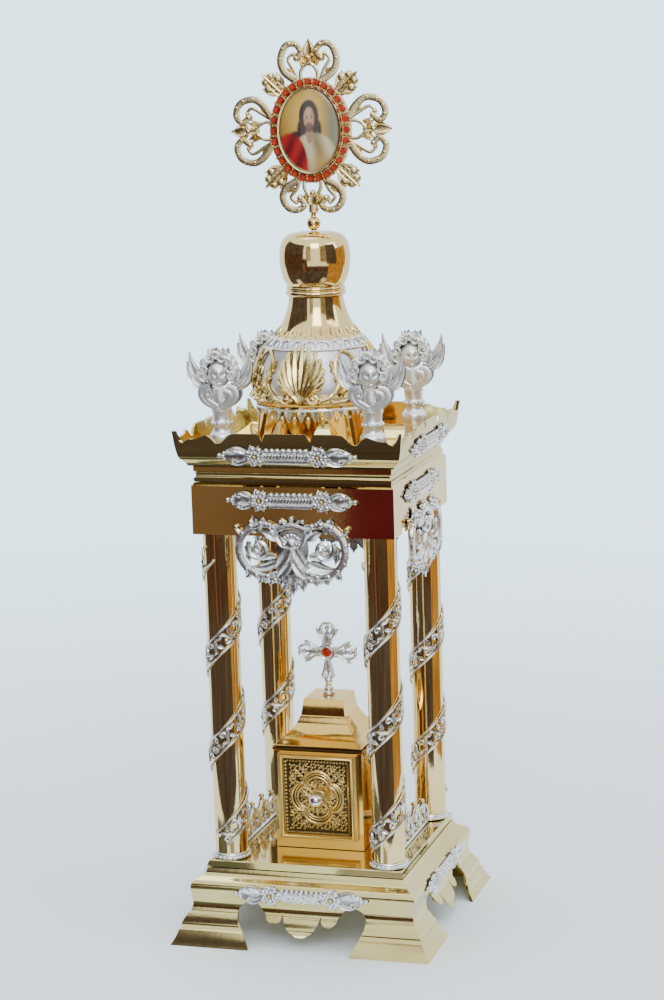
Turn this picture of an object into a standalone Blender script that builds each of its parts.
"""Altar tabernacle of gilt and silvered brass: footed stand, banded columns, domed canopy and casket."""

import math

import bmesh
import bpy

# Sizes are in metres. The origin is the middle of the floor outline, the front faces -Y.

# Fits
GAP = 0.0003
DRAWER_CLEARANCE = 0.0004

# Stand
FOOT_HALF = 0.0656
STAND_FLARE = 0.0157
STAND_HEIGHT = 0.0359
STAND_WALL = 0.0012
FOOT_LENGTH = 0.0400
APRON_ARCH_HEIGHT = 0.0217
DECK_SETBACK = 0.0006
DECK_THICKNESS = 0.0035
DECK_BEVEL = 0.0005

# Columns, with the collars and the ribbons wound up them.
# Each ribbon starts so many facets round from the +X axis, in the order of CORNER_NAMES.
COLUMN_SETBACK = 0.0089
COLUMN_RADIUS = 0.0080
COLUMN_WALL = 0.0010
COLUMN_HEIGHT = 0.1631
COLUMN_SIDES = 12
COLLAR_WIDTH = 0.0014
COLLAR_HEIGHT = 0.0030
BAND_WIDTH = 0.0127
BAND_THICKNESS = 0.0009
BAND_PITCH = 0.0480
BAND_START_FACETS = (8, 6, 1, 9)
BAND_END_GAP = 0.0012

# Galleries between the columns
GALLERY_HEIGHT = 0.0190
GALLERY_THICKNESS = 0.0018
GALLERY_ARCHES = 4
GALLERY_STEPS = 16

# Entablature and cornice
ENTABLATURE_OVERHANG = 0.0020
ENTABLATURE_HEIGHT = 0.0238
ENTABLATURE_BEVEL = 0.0015
SHEET_WALL = 0.0012
CORNICE_HEIGHT = 0.0255
CORNICE_STEP = 0.0002
CORNICE_FLARE = 0.0077
ROOF_PLATE_DEPTH = 0.0183
SCALLOP_DEPTH = 0.0058

# Cast silver bars: half length, rosette place and size, bar and relief
CORNICE_BAR_HALF = 0.0350
FRIEZE_BAR_HALF = 0.0330
GARLAND_HALF = 0.0345
ROSETTE_PLACE = 0.0163
ROSETTE_RADIUS = 0.0056
BAR_RADIUS = 0.0034
BAR_RELIEF = 0.0030
CORNICE_BAR_DROP = 0.0115
FRIEZE_BAR_RISE = 0.0173
GARLAND_DROP = 0.0098

# Pendants
PENDANT_RELIEF = 0.0040
PENDANT_WIDTH = 0.0590
PENDANT_DROP = 0.0077

# Roof ornaments
CHERUB_SETBACK = 0.0116
CHERUB_POST_HEIGHT = 0.0290
CHERUB_POST_RADIUS = 0.0045
CHERUB_SIZE = 0.0330
CHERUB_THICKNESS = 0.0060
CHERUB_FACE_RADIUS = 0.0068

# Dome with its skirt, bulb and ball
SKIRT_HALF = 0.0285
SKIRT_HEIGHT = 0.0255
SKIRT_WALL = 0.0012
SKIRT_ARCH_HEIGHT = 0.0195
SKIRT_FOOT = 0.0030
SKIRT_CORNER_FOOT = 0.0080
SKIRT_TOP_MARGIN = 0.0020
SKIRT_STEPS = 40
DOME_RADIUS = 0.0320
DOME_HEIGHT = 0.0510
NECK_RADIUS = 0.0132
DOME_SIDES = 20
BULB_RING_RADIUS = 0.0148
BULB_RING_HEIGHT = 0.0049
BULB_RADIUS = 0.0173
BULB_HEIGHT = 0.0312
BALL_RADIUS = 0.0034
PEG_RADIUS = 0.0013
PEG_HEIGHT = 0.0012

# Medallion
PICTURE_HALF_WIDTH = 0.0146
PICTURE_HALF_HEIGHT = 0.0193
PICTURE_DOME = 0.0024
BEZEL_WIDTH = 0.0015
BEZEL_HEIGHT = 0.0022
STONE_RING_WIDTH = 0.0037
STONE_RING_HEIGHT = 0.0020
STONE_COUNT = 28
FRAME_THICKNESS = 0.0022
FRAME_HALF_WIDTH = 0.0412
FRAME_RISE = 0.0440
FRAME_DROP = 0.0398
FRAME_LEAF_REACH = 0.0195
FRAME_EYE_RADIUS = 0.0032

# Casket with its roof and drawer
CASKET_HALF = 0.0226
CASKET_HEIGHT = 0.0512
CASKET_WALL = 0.0012
CASKET_RIM = 0.0006
CASKET_FLOOR_RISE = 0.0040
CASKET_MOUTH_MARGIN = 0.0024
DRAWER_FRONT_HALF = 0.0202
DRAWER_FRONT_HEIGHT = 0.0434
DRAWER_FRONT_THICKNESS = 0.0022
DRAWER_PANEL_HALF = 0.0174
DRAWER_PANEL_RISE = 0.0196
DRAWER_PANEL_RECESS = 0.0010
DRAWER_FRONT_RISE = 0.0052
TRAY_WALL = 0.0010
TRAY_HEIGHT = 0.0280
TRAY_DEPTH = 0.0400
KNOB_LENGTH = 0.0150
KNOB_RADIUS = 0.0042
KNOB_STEM_RADIUS = 0.0034
KNOB_SIDE_OFFSET = 0.0027
KNOB_RISE = 0.0018
ROOF_BLOCK_HALF = 0.0105
ROOF_BLOCK_HEIGHT = 0.0086
ROOF_SLOPE_HEIGHT = 0.0132

# Cross on the casket
CROSS_HEIGHT = 0.0370
CROSS_SPAN = 0.0304
CROSS_THICKNESS = 0.0020
CROSS_STONE_RADIUS = 0.0024
CROSS_STONE_HEIGHT = 0.0016

# Places that follow from the sizes
STAND_TOP_HALF = FOOT_HALF - STAND_FLARE
DECK_HALF = STAND_TOP_HALF - DECK_SETBACK
DECK_BOTTOM = STAND_HEIGHT + GAP
DECK_TOP = DECK_BOTTOM + DECK_THICKNESS
COLUMN_PLACE = DECK_HALF - COLUMN_SETBACK
COLUMN_BOTTOM = DECK_TOP + GAP
COLUMN_TOP = COLUMN_BOTTOM + COLUMN_HEIGHT
COLLAR_RADIUS = COLUMN_RADIUS + GAP + COLLAR_WIDTH
ENTABLATURE_HALF = COLUMN_PLACE + COLUMN_RADIUS + ENTABLATURE_OVERHANG
ENTABLATURE_BOTTOM = COLUMN_TOP + GAP
ENTABLATURE_TOP = ENTABLATURE_BOTTOM + ENTABLATURE_HEIGHT + ENTABLATURE_BEVEL
CORNICE_FOOT_HALF = ENTABLATURE_HALF - ENTABLATURE_BEVEL + CORNICE_STEP
CORNICE_BOTTOM = ENTABLATURE_TOP + GAP
CORNICE_TOP = CORNICE_BOTTOM + CORNICE_HEIGHT
CORNICE_HALF = CORNICE_FOOT_HALF + CORNICE_FLARE
ROOF_PLATE_TOP = CORNICE_TOP - ROOF_PLATE_DEPTH
ROOF_ITEM_BOTTOM = ROOF_PLATE_TOP + GAP
CHERUB_PLACE = CORNICE_FOOT_HALF - CHERUB_SETBACK
DOME_BOTTOM = ROOF_ITEM_BOTTOM + SKIRT_HEIGHT + GAP
SKIRT_TOP_RADIUS = DOME_RADIUS - SKIRT_TOP_MARGIN
BULB_BOTTOM = DOME_BOTTOM + DOME_HEIGHT + GAP
BALL_BOTTOM = BULB_BOTTOM + BULB_HEIGHT + GAP
FRAME_BOTTOM = BALL_BOTTOM + 2 * BALL_RADIUS + PEG_HEIGHT + GAP
MEDALLION_CENTRE = FRAME_BOTTOM + FRAME_DROP
CASKET_BOTTOM = DECK_TOP + GAP
CASKET_TOP = CASKET_BOTTOM + CASKET_HEIGHT
CASKET_FLOOR = CASKET_BOTTOM + CASKET_FLOOR_RISE + CASKET_WALL
MOUTH_HALF = CASKET_HALF - CASKET_WALL - CASKET_MOUTH_MARGIN
MOUTH_TOP = CASKET_TOP - CASKET_WALL - CASKET_MOUTH_MARGIN
DRAWER_BACK_FACE = CASKET_HALF + GAP
PANEL_MIDDLE = CASKET_BOTTOM + DRAWER_FRONT_RISE + DRAWER_FRONT_HEIGHT / 2
CASKET_ROOF_BOTTOM = CASKET_TOP + GAP
CROSS_BOTTOM = CASKET_ROOF_BOTTOM + ROOF_SLOPE_HEIGHT + ROOF_BLOCK_HEIGHT + GAP

TWIST_LIMIT = 1e-3
SIDE_NAMES = ("front", "right", "back", "left")
CORNER_NAMES = ("front_left", "front_right", "back_right", "back_left")


def material(name, colour, metallic, roughness):
    """Principled material with plain values."""
    made = bpy.data.materials.new(name)
    made.use_nodes = True
    shader = made.node_tree.nodes["Principled BSDF"]
    shader.inputs["Base Color"].default_value = (*colour, 1.0)
    shader.inputs["Metallic"].default_value = metallic
    shader.inputs["Roughness"].default_value = roughness
    made.diffuse_color = (*colour, 1.0)
    return made


def mesh_of(points, faces):
    """Mesh with its faces turned outwards."""
    made = bmesh.new()
    corners = [made.verts.new(point) for point in points]
    for face in faces:
        made.faces.new([corners[index] for index in face])
    quads = [face for face in made.faces if len(face.verts) == 4]
    bmesh.ops.connect_verts_nonplanar(made, faces=quads, angle_limit=TWIST_LIMIT)
    bmesh.ops.recalc_face_normals(made, faces=made.faces)
    mesh = bpy.data.meshes.new("piece")
    made.to_mesh(mesh)
    made.free()
    return mesh


def loft(rings, closed=False):
    """Skin through rings of equal length, capped at both ends or closed into a tube."""
    count = len(rings[0])
    points = [point for ring in rings for point in ring]
    spans = len(rings) if closed else len(rings) - 1
    faces = []
    for row in range(spans):
        start = row * count
        other = (row + 1) % len(rings) * count
        for column in range(count):
            after = (column + 1) % count
            faces.append((start + column, start + after, other + after, other + column))
    if not closed:
        faces.append(tuple(range(count)))
        faces.append(tuple(range(len(points) - count, len(points))))
    return mesh_of(points, faces)


def square_ring(half, height):
    return [(half, -half, height), (half, half, height), (-half, half, height), (-half, -half, height)]


def square_loft(profile):
    return loft([square_ring(half, height) for half, height in profile])


def round_ring(radius, height, sides):
    turns = [2 * math.pi * (side + 0.5) / sides for side in range(sides)]
    return [(radius * math.cos(turn), radius * math.sin(turn), height) for turn in turns]


def round_loft(profile, sides, closed=False):
    return loft([round_ring(radius, height, sides) for radius, height in profile], closed)


def prism(outline, near, far):
    """Outline in X and Z, drawn out along Y."""
    return loft([[(x, depth, z) for x, z in outline] for depth in (near, far)])


def box(low, high):
    outline = [(low[0], low[2]), (high[0], low[2]), (high[0], high[2]), (low[0], high[2])]
    return prism(outline, low[1], high[1])


def moved(mesh, offset=(0, 0, 0), turn=0.0):
    """The mesh turned about Z, then moved."""
    cosine, sine = math.cos(turn), math.sin(turn)
    for vertex in mesh.vertices:
        x, y, z = vertex.co
        vertex.co = (cosine * x - sine * y + offset[0], sine * x + cosine * y + offset[1], z + offset[2])
    return mesh


def combined(base, tool, operation):
    """Mesh left by an exact Boolean of two meshes, which it uses up."""
    scene = bpy.context.scene.collection
    first = bpy.data.objects.new("boolean_base", base)
    second = bpy.data.objects.new("boolean_tool", tool)
    scene.objects.link(first)
    scene.objects.link(second)
    modifier = first.modifiers.new("boolean", "BOOLEAN")
    modifier.object = second
    modifier.operation = operation
    modifier.solver = "EXACT"
    result = bpy.data.meshes.new_from_object(first.evaluated_get(bpy.context.evaluated_depsgraph_get()))
    bpy.data.objects.remove(first)
    bpy.data.objects.remove(second)
    bpy.data.meshes.remove(base)
    bpy.data.meshes.remove(tool)
    return result


def cut(base, tool):
    return combined(base, tool, "DIFFERENCE")


def joined(base, tool):
    return combined(base, tool, "UNION")


def arc(middle, radii, start, end, steps):
    """Points along part of an ellipse, angles in degrees."""
    turns = [math.radians(start + (end - start) * step / steps) for step in range(steps + 1)]
    return [(middle[0] + radii[0] * math.cos(turn), middle[1] + radii[1] * math.sin(turn)) for turn in turns]


def reach(turn, discs):
    """Distance from the middle to the far edge of the outermost disc at an angle."""
    cosine, sine = math.cos(turn), math.sin(turn)
    farthest = 0.0
    for x, z, wide, high in discs:
        square = (cosine / wide) ** 2 + (sine / high) ** 2
        along = cosine * x / wide**2 + sine * z / high**2
        rest = (x / wide) ** 2 + (z / high) ** 2 - 1
        root = along**2 - square * rest
        if root > 0:
            farthest = max(farthest, (along + math.sqrt(root)) / square)
    return farthest


def lobed_outline(discs, steps):
    """Outline of a rosette-like form that its overlapping discs describe, seen from its middle."""
    turns = [2 * math.pi * (step + 0.5) / steps for step in range(steps)]
    return [(reach(turn, discs) * math.cos(turn), reach(turn, discs) * math.sin(turn)) for turn in turns]


def relief(outline, thickness, shoulder):
    """Lobed plate with its back at Y = 0 and a raised front."""
    rings = []
    for share, depth in ((1.0, 0.0), (1.0, thickness * 0.45), (shoulder, thickness)):
        rings.append([(x * share, -depth, z * share) for x, z in outline])
    return loft(rings)


def both_sides(discs):
    """The discs with their mirror images in X."""
    return discs + [(-x, z, wide, high) for x, z, wide, high in discs if abs(x) > 1e-6]


def add_piece(name, mesh, finish, parent, location=(0, 0, 0), rotation=(0, 0, 0)):
    """Named object for one physical piece."""
    if not mesh.materials:
        mesh.materials.append(finish)
    mesh.shade_smooth()
    mesh.set_sharp_from_angle(angle=math.radians(32))
    piece = bpy.data.objects.new(name, mesh)
    bpy.context.scene.collection.objects.link(piece)
    piece.parent = parent
    piece.location = location
    piece.rotation_euler = rotation
    return piece


def add_on_sides(name, mesh, finish, parent, distance, height, lean=0.0):
    """The same piece on all four sides, its back at a distance from the axis."""
    for index, side in enumerate(SIDE_NAMES):
        turn = index * math.pi / 2
        location = (distance * math.sin(turn), -distance * math.cos(turn), height)
        add_piece(f"{name}_{side}", mesh, finish, parent, location, (lean, 0, turn))


def corner_places(distance):
    return [(-distance, -distance), (distance, -distance), (distance, distance), (-distance, distance)]


# Stand and deck


def stand_profile():
    """Foot moulding, waisted cove and sloping shoulder, as shares of the flare and the height."""
    moulding = (
        (0.00, 0.000),
        (0.05, 0.033),
        (0.15, 0.110),
        (0.23, 0.200),
        (0.30, 0.220),
        (0.32, 0.300),
        (0.49, 0.418),
        (0.55, 0.436),
        (0.61, 0.560),
        (0.55, 0.750),
        (0.58, 0.815),
        (0.90, 0.915),
        (1.00, 1.000),
    )
    return [(FOOT_HALF - STAND_FLARE * inset, STAND_HEIGHT * rise) for inset, rise in moulding]


def halves_between(profile, low, high):
    """Half widths of a profile between two heights."""
    found = []
    for (half, height), (next_half, next_height) in zip(profile, profile[1:]):
        for step in range(9):
            share = step / 8
            if low <= height + (next_height - height) * share <= high:
                found.append(half + (next_half - half) * share)
    return found


def widest(profile, low, high):
    return max(halves_between(profile, low, high))


def lining(profile, wall, levels):
    """Inner face that stays at least a wall behind the profile at each level."""
    return [(min(halves_between(profile, level - wall, level + wall)) - wall, level) for level in levels]


def apron_outline():
    """Opening under an apron: two arches beside the feet and three hanging lobes between."""
    half = FOOT_HALF - FOOT_LENGTH
    middle_lobe = arc((0, 0.75), (0.37, 0.43), -90, 0, 3)
    side_lobe = arc((0.555, 0.76), (0.164, 0.194), -180, 0, 3)
    arch = arc((1.035, 0.668), (0.242, 0.332), 150, 0, 3)
    foot = [(1.25, 0.55), (1.0, 0.0), (1.0, -0.2)]
    right = middle_lobe + side_lobe + arch + foot
    outline = [(half * x, APRON_ARCH_HEIGHT * z) for x, z in right]
    return [(-x, z) for x, z in reversed(outline[1:])] + outline


def stand_mesh():
    outer = stand_profile()
    levels = [STAND_HEIGHT * share for share in (0.0, 0.30, 0.56, 0.80)]
    inner = lining(outer, STAND_WALL, levels)
    ceiling = STAND_HEIGHT - STAND_WALL
    inner.append((outer[-1][0] - STAND_WALL, ceiling))
    shell = square_loft(inner[::-1] + outer)
    for turn in (0, math.pi / 2):
        opening = moved(prism(apron_outline(), -2 * FOOT_HALF, 2 * FOOT_HALF), turn=turn)
        shell = cut(shell, opening)
    return shell


def deck_mesh():
    edge = DECK_HALF - DECK_BEVEL
    rim = DECK_TOP - DECK_BEVEL
    return square_loft([(DECK_HALF, DECK_BOTTOM), (DECK_HALF, rim), (edge, DECK_TOP)])


# Columns


def column_mesh():
    inner = COLUMN_RADIUS - COLUMN_WALL
    profile = [(COLUMN_RADIUS, 0), (COLUMN_RADIUS, COLUMN_HEIGHT), (inner, COLUMN_HEIGHT), (inner, 0)]
    return round_loft(profile, COLUMN_SIDES, closed=True)


def collar_mesh():
    inner = COLUMN_RADIUS + GAP
    profile = [(inner, 0), (COLLAR_RADIUS, COLLAR_HEIGHT * 0.3), (inner, COLLAR_HEIGHT)]
    return round_loft(profile, COLUMN_SIDES, closed=True)


def band_mesh():
    """Ribbon that climbs the column, one flat facet of the column at a time."""
    bottom = COLLAR_HEIGHT + BAND_END_GAP
    climb = COLUMN_HEIGHT - BAND_END_GAP - BAND_WIDTH - bottom
    steps = int(climb / BAND_PITCH * COLUMN_SIDES)
    inner = COLUMN_RADIUS + GAP
    outer = inner + BAND_THICKNESS
    rings = []
    for step in range(steps + 1):
        turn = 2 * math.pi * (step + 0.5) / COLUMN_SIDES
        low = bottom + climb * step / steps
        corners = ((inner, low), (outer, low), (outer, low + BAND_WIDTH), (inner, low + BAND_WIDTH))
        cosine, sine = math.cos(turn), math.sin(turn)
        rings.append([(radius * cosine, radius * sine, height) for radius, height in corners])
    return loft(rings)


def gallery_mesh():
    """Crested strip along X with a bead on its middle crest and a row of eyes."""
    half = COLUMN_PLACE - COLLAR_RADIUS - GAP
    crest = GALLERY_HEIGHT * 0.22
    top = []
    for step in range(GALLERY_STEPS + 1):
        share = step / GALLERY_STEPS
        wave = abs(math.sin(math.pi * GALLERY_ARCHES * share))
        rise = GALLERY_HEIGHT * (0.55 + 0.2 * math.sin(math.pi * share)) + crest * wave
        top.append((half * (1 - 2 * share), rise))
    strip = prism([(-half, 0), (half, 0)] + top, -GALLERY_THICKNESS / 2, GALLERY_THICKNESS / 2)
    for arch in range(GALLERY_ARCHES):
        middle = half * (2 * (arch + 0.5) / GALLERY_ARCHES - 1)
        eye = arc((middle, GALLERY_HEIGHT * 0.42), (half * 0.10, GALLERY_HEIGHT * 0.22), 0, 270, 3)
        strip = cut(strip, prism(eye, -GALLERY_THICKNESS, GALLERY_THICKNESS))
    return strip


# Entablature and cornice


def entablature_mesh():
    half = ENTABLATURE_HALF
    rim = half - ENTABLATURE_BEVEL
    shoulder = ENTABLATURE_TOP - ENTABLATURE_BEVEL
    floor = ENTABLATURE_BOTTOM + SHEET_WALL
    outer = [(half, ENTABLATURE_BOTTOM), (half, shoulder), (rim, ENTABLATURE_TOP)]
    inner = [(rim - SHEET_WALL, ENTABLATURE_TOP), (rim - SHEET_WALL, floor)]
    return square_loft(outer + inner)


def cornice_profile():
    """Outer face: a grooved moulding, then the wall that swells outwards to the scalloped edge."""
    shape = (
        (0.00, 0.000),
        (0.03, 0.060),
        (-0.10, 0.130),
        (0.03, 0.200),
        (0.03, 0.280),
        (0.29, 0.320),
        (0.36, 0.370),
        (0.71, 0.490),
        (0.87, 0.690),
        (1.00, 1.000),
    )
    foot, base = CORNICE_FOOT_HALF, CORNICE_BOTTOM
    return [(foot + CORNICE_FLARE * out, base + CORNICE_HEIGHT * rise) for out, rise in shape]


def cornice_bar_seat(height):
    """Distance and lean of a bar that lies against the fullest part of the flared wall."""
    (low_half, low), (high_half, high) = cornice_profile()[7:9]
    lean = math.atan2(high_half - low_half, high - low)
    return low_half + (height - low) * math.tan(lean) + GAP / math.cos(lean), lean


def scallop_cutter(turn):
    """What is missing above one side's edge: lines that meet in the cornice's middle bound it."""
    shape = ((0.175, 0.155), (0.21, 0.78), (0.245, 0.155), (0.456, 0.155), (0.57, 0.95), (0.63, 0.95))
    shape += ((0.70, 0.30), (0.79, 0.60), (0.86, 0.65), (0.93, 1.0), (0.985, -0.1))
    lift = CORNICE_HEIGHT
    right = [(0, CORNICE_TOP - SCALLOP_DEPTH * shape[0][1])]
    right += [(share, CORNICE_TOP - SCALLOP_DEPTH * drop) for share, drop in shape]
    right.append((0.985, CORNICE_TOP + lift))
    outline = [(-share, z) for share, z in reversed(right[1:])] + right
    rings = []
    for distance in (CORNICE_HALF * 0.8, CORNICE_HALF * 1.2):
        rings.append([(share * distance, -distance, z) for share, z in outline])
    return moved(loft(rings), turn=turn)


def cornice_mesh():
    outer = cornice_profile()
    underside = ROOF_PLATE_TOP - SHEET_WALL
    skirt_half = outer[2][0] - SHEET_WALL
    lower = [(skirt_half, underside), (skirt_half, CORNICE_BOTTOM)]
    inner_levels = [CORNICE_BOTTOM + CORNICE_HEIGHT * rise for rise in (1.0, 0.69, 0.49)]
    inner = lining(outer, SHEET_WALL, inner_levels)
    inner.append((skirt_half, ROOF_PLATE_TOP))
    wall = square_loft(lower + outer + inner)
    for index in range(len(SIDE_NAMES)):
        wall = cut(wall, scallop_cutter(index * math.pi / 2))
    return wall


# Cast silver ornaments


def bar_mesh(half_length):
    """Bar with two rosettes and tapered scroll ends, its back at Y = 0."""
    shoulder = ROSETTE_PLACE - ROSETTE_RADIUS
    outside = ROSETTE_PLACE + ROSETTE_RADIUS
    bevel = ROSETTE_RADIUS * 0.7
    stations = (
        (half_length, 0.25),
        (outside, 0.62),
        (ROSETTE_PLACE + bevel, 1.30),
        (ROSETTE_PLACE, 1.65),
        (ROSETTE_PLACE - bevel, 1.30),
        (shoulder, 0.85),
    )
    right = [(x, BAR_RADIUS * share, BAR_RELIEF * (0.35 + 0.4 * share)) for x, share in stations]
    right.append((0, BAR_RADIUS, BAR_RELIEF * 0.75))
    along = right + [(-x, half_height, depth) for x, half_height, depth in reversed(right[:-1])]
    rings = []
    for x, half_height, depth in along:
        flat = half_height * 0.5
        rings.append([(x, 0, -half_height), (x, -depth, -flat), (x, -depth, flat), (x, 0, half_height)])
    return loft(rings)


def pendant_mesh():
    """Hanging ornament: a crowned shield between two scroll lobes, with leaf tips below."""
    unit = PENDANT_WIDTH / 2
    discs = [
        (0.00, 0.00, 0.45, 0.50),
        (0.00, 0.47, 0.16, 0.17),
        (0.00, -0.48, 0.13, 0.16),
        (0.27, -0.44, 0.09, 0.17),
        (0.52, -0.05, 0.35, 0.38),
        (0.58, 0.30, 0.26, 0.14),
        (0.93, 0.38, 0.07, 0.07),
    ]
    outline = lobed_outline([[unit * value for value in disc] for disc in both_sides(discs)], 24)
    return relief(outline, PENDANT_RELIEF, 0.72)


def cherub_mesh():
    """Winged child's head on a baluster post, facing -Y, with its foot at Z = 0."""
    radius = CHERUB_POST_RADIUS
    height = CHERUB_POST_HEIGHT
    shape = ((1.0, 0.0), (1.0, 0.36), (1.45, 0.41), (1.25, 0.55), (0.62, 0.72), (0.95, 0.86), (0.5, 1.0))
    post = round_loft([(radius * out, height * rise) for out, rise in shape], 6)
    unit = CHERUB_SIZE / 2
    wings = [
        (0.00, 0.05, 0.45, 0.62),
        (0.62, 0.10, 0.18, 0.30),
        (0.80, 0.36, 0.13, 0.24),
        (0.42, -0.36, 0.34, 0.26),
        (0.00, -0.62, 0.26, 0.22),
        (0.30, 0.66, 0.18, 0.26),
    ]
    outline = lobed_outline([[unit * value for value in disc] for disc in both_sides(wings)], 24)
    middle = height + unit * 0.75
    plate = moved(relief(outline, CHERUB_THICKNESS, 0.7), (0, CHERUB_THICKNESS / 2, middle))
    face = [(0.45, -0.90), (0.95, -0.35), (0.95, 0.35), (0.45, 0.90)]
    head = round_loft([(CHERUB_FACE_RADIUS * out, CHERUB_FACE_RADIUS * 1.15 * up) for out, up in face], 8)
    head = moved(head, (0, -CHERUB_THICKNESS * 0.4, middle + unit * 0.10))
    return joined(joined(plate, head), post)


# Dome


def arch_rise(share):
    """Height of the skirt's lower edge, from the middle of a side at 0 to its corner at 1."""
    foot = SKIRT_FOOT / SKIRT_HALF
    across = (share - foot) / (1 - SKIRT_CORNER_FOOT / SKIRT_HALF - foot)
    if across <= 0 or across >= 1:
        return 0.0
    return SKIRT_ARCH_HEIGHT * math.sqrt(math.sin(math.pi * across))


def skirt_mesh():
    """Arcaded foot: round under the dome and square on the roof, with two arches a side."""
    rings = [[], [], [], []]
    for step in range(SKIRT_STEPS):
        turn = 2 * math.pi * (step + 0.5) / SKIRT_STEPS
        cosine, sine = math.cos(turn), math.sin(turn)
        long, short = max(abs(cosine), abs(sine)), min(abs(cosine), abs(sine))
        rise = arch_rise(short / long)
        square = SKIRT_HALF / (long**8 + short**8) ** (1 / 8)
        lower = square + (SKIRT_TOP_RADIUS - square) * rise / SKIRT_HEIGHT
        wall = SKIRT_WALL / long
        top = SKIRT_TOP_RADIUS
        places = ((lower, rise), (top, SKIRT_HEIGHT), (top - wall, SKIRT_HEIGHT), (lower - wall, rise))
        for ring, (radius, height) in zip(rings, places):
            ring.append((radius * cosine, radius * sine, ROOF_ITEM_BOTTOM + height))
    return loft(rings, closed=True)


def dome_mesh():
    """Bell: a rounded rim, a full lower dome and a hollow sweep up to the neck."""
    shape = (
        (0.955, 0.000),
        (1.000, 0.035),
        (1.000, 0.085),
        (0.955, 0.125),
        (0.963, 0.210),
        (0.885, 0.370),
        (0.790, 0.520),
        (0.705, 0.600),
        (0.590, 0.690),
        (0.480, 0.830),
    )
    profile = [(DOME_RADIUS * out, DOME_BOTTOM + DOME_HEIGHT * rise) for out, rise in shape]
    profile.append((NECK_RADIUS, DOME_BOTTOM + DOME_HEIGHT))
    return round_loft(profile, DOME_SIDES)


def bulb_mesh():
    """Ring and bulb, turned as one."""
    ring_top = BULB_BOTTOM + BULB_RING_HEIGHT
    rise = BULB_HEIGHT - BULB_RING_HEIGHT
    profile = [
        (BULB_RING_RADIUS * 0.92, BULB_BOTTOM),
        (BULB_RING_RADIUS, BULB_BOTTOM + BULB_RING_HEIGHT * 0.3),
        (BULB_RING_RADIUS, BULB_BOTTOM + BULB_RING_HEIGHT * 0.8),
        (BULB_RING_RADIUS * 0.90, ring_top),
    ]
    shape = ((0.93, 0.18), (1.0, 0.44), (0.985, 0.66), (0.87, 0.86), (0.64, 0.97), (0.22, 1.0))
    profile += [(BULB_RADIUS * out, ring_top + rise * up) for out, up in shape]
    return round_loft(profile, DOME_SIDES)


def ball_mesh():
    """Ball with a small flat below and the peg that the medallion stands on."""
    turns = [math.radians(angle) for angle in (-66, -35, 0, 35, 66)]
    middle = BALL_BOTTOM + BALL_RADIUS
    profile = [(BALL_RADIUS * math.cos(turn), middle + BALL_RADIUS * math.sin(turn)) for turn in turns]
    profile[0] = (profile[0][0], BALL_BOTTOM)
    profile.append((PEG_RADIUS, BALL_BOTTOM + 2 * BALL_RADIUS))
    profile.append((PEG_RADIUS, FRAME_BOTTOM - GAP))
    return round_loft(profile, 10)


# Medallion


def oval(half_width, half_height, steps):
    return arc((0, 0), (half_width, half_height), 0, 360 - 360 / steps, steps - 1)


def frame_mesh():
    """Pierced cross of four scroll lobes and four leaves round an oval, with the picture's bezel."""
    wide = FRAME_HALF_WIDTH
    leaf = FRAME_LEAF_REACH
    stone_wide = PICTURE_HALF_WIDTH + BEZEL_WIDTH + 2 * GAP + STONE_RING_WIDTH
    stone_high = PICTURE_HALF_HEIGHT + BEZEL_WIDTH + 2 * GAP + STONE_RING_WIDTH
    discs = [
        (0.00, 0.00, stone_wide, stone_high),
        (wide * 0.890, 0.00, wide * 0.110, wide * 0.115),
    ]
    eyes = []
    for end, high in ((1, FRAME_RISE), (-1, FRAME_DROP)):
        discs.append((high * 0.21, end * high * 0.745, high * 0.165, high * 0.17))
        discs.append((0.00, end * high * 0.865, high * 0.115, high * 0.135))
        discs.append((wide * 0.760, end * wide * 0.235, wide * 0.170, wide * 0.175))
        discs.append((leaf * 0.96, end * leaf, leaf * 0.23, leaf * 0.23))
        discs.append((leaf * 1.15, end * leaf * 1.19, leaf * 0.10, leaf * 0.10))
        eyes += [(high * 0.21, end * high * 0.75), (wide * 0.765, end * wide * 0.235)]
    plate = prism(lobed_outline(both_sides(discs), 80), -FRAME_THICKNESS, 0)
    for x, z in eyes:
        for side in (-1, 1):
            eye = arc((side * x, z), (FRAME_EYE_RADIUS, FRAME_EYE_RADIUS), 0, 288, 4)
            plate = cut(plate, prism(eye, -2 * FRAME_THICKNESS, FRAME_THICKNESS))
    return joined(plate, bezel_mesh())


def oval_ring(inner, outer, near, far, steps):
    """Ring between two ovals, from one depth to another."""
    rings = []
    for (half_width, half_height), depth in ((inner, far), (outer, far), (outer, near), (inner, near)):
        rings.append([(x, depth, z) for x, z in oval(half_width, half_height, steps)])
    return loft(rings, closed=True)


def bezel_mesh():
    inner = (PICTURE_HALF_WIDTH + GAP, PICTURE_HALF_HEIGHT + GAP)
    outer = (inner[0] + BEZEL_WIDTH, inner[1] + BEZEL_WIDTH)
    return oval_ring(inner, outer, -FRAME_THICKNESS - BEZEL_HEIGHT, -FRAME_THICKNESS * 0.5, 24)


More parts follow.
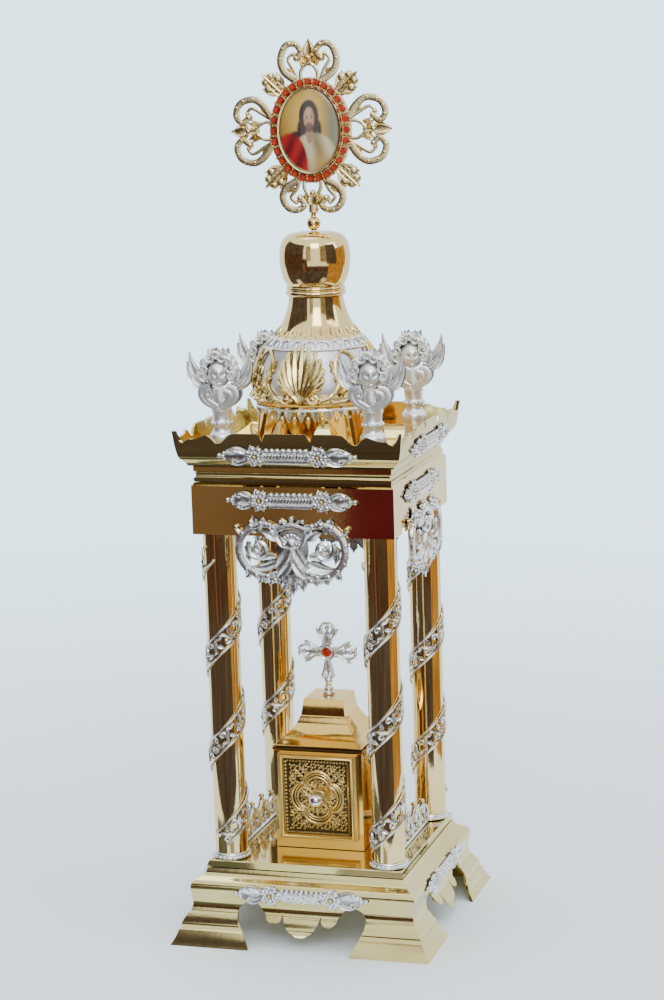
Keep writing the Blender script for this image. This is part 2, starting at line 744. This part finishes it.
def stones_mesh():
    """Ring of faceted stones that touch one another round the bezel."""
    inner_wide = PICTURE_HALF_WIDTH + BEZEL_WIDTH + 2 * GAP
    inner_high = PICTURE_HALF_HEIGHT + BEZEL_WIDTH + 2 * GAP
    steps = 2 * STONE_COUNT
    back = -FRAME_THICKNESS - GAP
    rings = []
    for step in range(steps):
        turn = 2 * math.pi * step / steps
        at_stone = step % 2 == 0
        width = STONE_RING_WIDTH * (1.0 if at_stone else 0.72)
        depth = STONE_RING_HEIGHT * (1.0 if at_stone else 0.55)
        cosine, sine = math.cos(turn), math.sin(turn)
        near = (inner_wide * cosine, inner_high * sine)
        far = ((inner_wide + width) * cosine, (inner_high + width) * sine)
        crown = ((near[0] + far[0]) / 2, (near[1] + far[1]) / 2)
        rings.append([(near[0], back, near[1]), (far[0], back, far[1]), (crown[0], back - depth, crown[1])])
    return loft(rings, closed=True)


def picture_mesh():
    """Domed oval tablet inside the bezel."""
    back = -FRAME_THICKNESS - GAP
    rings = []
    for share, depth in ((1.0, 0.0), (1.0, 0.35), (0.65, 1.0)):
        ring = oval(PICTURE_HALF_WIDTH * share, PICTURE_HALF_HEIGHT * share, 20)
        rings.append([(x, back - PICTURE_DOME * depth, z) for x, z in ring])
    return loft(rings)


# Casket


def casket_mesh():
    """Box with a raised floor, open below the floor and at the drawer's mouth."""
    half = CASKET_HALF
    inner = half - CASKET_WALL
    eaves = half + CASKET_RIM
    rim = CASKET_TOP - CASKET_WALL
    profile = [(half, CASKET_BOTTOM), (half, rim - CASKET_RIM), (eaves, rim), (eaves, CASKET_TOP)]
    under = box((-inner, -inner, CASKET_BOTTOM - CASKET_WALL), (inner, inner, CASKET_FLOOR - CASKET_WALL))
    room = box((-inner, -inner, CASKET_FLOOR), (inner, inner, CASKET_TOP - CASKET_WALL))
    mouth = box((-MOUTH_HALF, -2 * half, CASKET_FLOOR), (MOUTH_HALF, -half / 2, MOUTH_TOP))
    return cut(cut(square_loft(profile), under), joined(room, mouth))


def roof_profile():
    """Concave slope and the square block on it, from the eaves up."""
    eaves = CASKET_HALF
    block = ROOF_BLOCK_HALF
    shape = ((0.97, 0.05), (0.65, 0.27), (0.35, 0.57), (0.13, 0.93))
    profile = [(eaves, CASKET_ROOF_BOTTOM)]
    for out, rise in shape:
        profile.append((block + (eaves - block) * out, CASKET_ROOF_BOTTOM + ROOF_SLOPE_HEIGHT * rise))
    top = CASKET_ROOF_BOTTOM + ROOF_SLOPE_HEIGHT
    return profile + [(block * 1.08, top), (block * 0.98, top + ROOF_BLOCK_HEIGHT)]


def casket_roof_mesh():
    outer = roof_profile()
    levels = [CASKET_ROOF_BOTTOM + ROOF_SLOPE_HEIGHT * rise for rise in (0, 0.25, 0.93)]
    inner = lining(outer, CASKET_WALL, levels)
    inner.append((inner[-1][0] * 0.95, outer[-1][1] - CASKET_WALL))
    return square_loft(inner[::-1] + outer)


def drawer_mesh():
    """Tray behind a framed front, its origin at the middle of the front's back face."""
    front_half = DRAWER_FRONT_HALF
    front_rise = DRAWER_FRONT_HEIGHT / 2
    thickness = DRAWER_FRONT_THICKNESS
    side = MOUTH_HALF - DRAWER_CLEARANCE
    tray_bottom = CASKET_FLOOR + GAP - PANEL_MIDDLE
    tray_top = tray_bottom + TRAY_HEIGHT
    back = GAP + TRAY_DEPTH
    front = box((-front_half, -thickness, -front_rise), (front_half, 0, front_rise))
    tray = box((-side, -thickness / 2, tray_bottom), (side, back, tray_top))
    hollow = side - TRAY_WALL
    inside = box((-hollow, TRAY_WALL, tray_bottom + TRAY_WALL), (hollow, back - TRAY_WALL, 2 * tray_top))
    panel_half = DRAWER_PANEL_HALF
    panel_rise = DRAWER_PANEL_RISE
    panel_face = DRAWER_PANEL_RECESS - thickness
    recess = box((-panel_half, -2 * thickness, -panel_rise), (panel_half, panel_face, panel_rise))
    return cut(joined(front, cut(tray, inside)), recess)


def knob_mesh():
    """Stem and round cap, turned about Y, with the foot of the stem at Y = 0."""
    stem = KNOB_STEM_RADIUS
    cap = KNOB_RADIUS
    neck = KNOB_LENGTH - 2 * cap
    profile = [(stem, 0), (stem * 0.8, neck * 0.4), (stem, neck), (cap * 0.8, neck + cap * 0.2)]
    profile += [(cap, neck + cap), (cap * 0.75, neck + cap * 1.7), (cap * 0.3, KNOB_LENGTH)]
    rings = []
    for radius, depth in profile:
        rings.append([(x, -depth, z) for x, z, _ in round_ring(radius, depth, 12)])
    return loft(rings)


def cross_mesh():
    """Trefoil cross on a flared stem, its foot at Z = 0."""
    arm = CROSS_SPAN / 2
    centre = CROSS_HEIGHT - arm
    discs = [
        (0.00, 0.00, 0.36, 0.36),
        (0.82, 0.00, 0.18, 0.15),
        (0.62, 0.13, 0.14, 0.14),
        (0.62, -0.13, 0.14, 0.14),
        (0.00, 0.82, 0.15, 0.18),
        (0.13, 0.62, 0.14, 0.14),
        (0.00, -0.60, 0.22, 0.20),
    ]
    outline = lobed_outline([[arm * value for value in disc] for disc in both_sides(discs)], 40)
    head = moved(prism(outline, -CROSS_THICKNESS / 2, CROSS_THICKNESS / 2), (0, 0, centre))
    waist = arm * 0.07
    foot = arm * 0.22
    stem = [(foot, 0), (waist * 1.6, centre * 0.18), (waist, centre * 0.35), (waist * 1.8, centre * 0.66)]
    stem = round_loft(stem, 8)
    return joined(head, stem)


def cross_stone_mesh():
    profile = [(CROSS_STONE_RADIUS, 0), (CROSS_STONE_RADIUS * 0.55, CROSS_STONE_HEIGHT)]
    rings = [[(x, -depth, z) for x, z, _ in round_ring(radius, depth, 10)] for radius, depth in profile]
    return loft(rings)


# Assembly


def add_stand(frame, brass, silver):
    add_piece("stand", stand_mesh(), brass, frame)
    add_piece("deck_plate", deck_mesh(), brass, frame)
    height = STAND_HEIGHT - GARLAND_DROP
    face = widest(stand_profile(), height - ROSETTE_RADIUS, height + ROSETTE_RADIUS)
    add_on_sides("base_garland", bar_mesh(GARLAND_HALF), silver, frame, face + GAP, height)


def add_columns(frame, brass, silver):
    column, collar, band = column_mesh(), collar_mesh(), band_mesh()
    facet = 2 * math.pi / COLUMN_SIDES
    for corner, (x, y), start in zip(CORNER_NAMES, corner_places(COLUMN_PLACE), BAND_START_FACETS):
        place = (x, y, COLUMN_BOTTOM)
        add_piece(f"column_{corner}", column, brass, frame, place)
        add_piece(f"column_collar_{corner}", collar, silver, frame, place)
        add_piece(f"spiral_band_{corner}", band, silver, frame, place, (0, 0, start * facet))


def add_galleries(frame, brass):
    mesh = gallery_mesh()
    for name, side in (("gallery_left", -1), ("gallery_right", 1)):
        add_piece(name, mesh, brass, frame, (side * COLUMN_PLACE, 0, COLUMN_BOTTOM), (0, 0, math.pi / 2))


def add_canopy(frame, brass, silver):
    add_piece("entablature", entablature_mesh(), brass, frame)
    add_piece("cornice", cornice_mesh(), brass, frame)
    face = ENTABLATURE_HALF + GAP
    bar_height = ENTABLATURE_BOTTOM + FRIEZE_BAR_RISE
    add_on_sides("frieze_ornament", bar_mesh(FRIEZE_BAR_HALF), silver, frame, face, bar_height)
    add_on_sides("pendant", pendant_mesh(), silver, frame, face, ENTABLATURE_BOTTOM - PENDANT_DROP)
    bar_height = CORNICE_TOP - CORNICE_BAR_DROP
    wall, lean = cornice_bar_seat(bar_height)
    add_on_sides("cornice_ornament", bar_mesh(CORNICE_BAR_HALF), silver, frame, wall, bar_height, lean)
    cherub = cherub_mesh()
    for corner, (x, y) in zip(CORNER_NAMES, corner_places(CHERUB_PLACE)):
        add_piece(f"cherub_{corner}", cherub, silver, frame, (x, y, ROOF_ITEM_BOTTOM))


def add_dome(frame, gilt):
    add_piece("dome_skirt", skirt_mesh(), gilt, frame)
    add_piece("dome", dome_mesh(), gilt, frame)
    add_piece("bulb", bulb_mesh(), gilt, frame)
    add_piece("finial_ball", ball_mesh(), gilt, frame)


def add_medallion(frame, gilt, enamel, glass):
    place = (0, FRAME_THICKNESS / 2, MEDALLION_CENTRE)
    add_piece("medallion_frame", frame_mesh(), gilt, frame, place)
    add_piece("medallion_stones", stones_mesh(), glass, frame, place)
    add_piece("medallion_picture", picture_mesh(), enamel, frame, place)


def add_casket(frame, slide, gilt, silver, glass):
    add_piece("casket_body", casket_mesh(), gilt, frame)
    add_piece("casket_roof", casket_roof_mesh(), gilt, frame)
    add_piece("drawer", drawer_mesh(), gilt, slide)
    knob_place = (KNOB_SIDE_OFFSET, DRAWER_PANEL_RECESS - DRAWER_FRONT_THICKNESS - GAP, KNOB_RISE)
    add_piece("drawer_knob", knob_mesh(), silver, slide, knob_place)
    add_piece("cross", cross_mesh(), silver, frame, (0, 0, CROSS_BOTTOM))
    stone_place = (0, -CROSS_THICKNESS / 2 - GAP, CROSS_BOTTOM + CROSS_HEIGHT - CROSS_SPAN / 2)
    add_piece("cross_stone", cross_stone_mesh(), glass, frame, stone_place)


def main():
    for item in list(bpy.data.objects):
        bpy.data.objects.remove(item)
    brass = material("pale_brass", (0.80, 0.66, 0.42), 1.0, 0.18)
    gilt = material("gilt_brass", (0.83, 0.58, 0.22), 1.0, 0.16)
    silver = material("silvered_casting", (0.88, 0.89, 0.90), 1.0, 0.25)
    enamel = material("enamel", (0.55, 0.42, 0.25), 0.0, 0.2)
    glass = material("red_glass", (0.55, 0.03, 0.02), 0.0, 0.1)
    frame = bpy.data.objects.new("tabernacle", None)
    slide = bpy.data.objects.new("drawer_slide", None)
    for empty in (frame, slide):
        bpy.context.scene.collection.objects.link(empty)
    slide.parent = frame
    slide.location = (0, -DRAWER_BACK_FACE, PANEL_MIDDLE)
    add_stand(frame, brass, silver)
    add_columns(frame, gilt, silver)
    add_galleries(frame, gilt)
    add_canopy(frame, brass, silver)
    add_dome(frame, gilt)
    add_medallion(frame, gilt, enamel, glass)
    add_casket(frame, slide, gilt, silver, glass)


main()
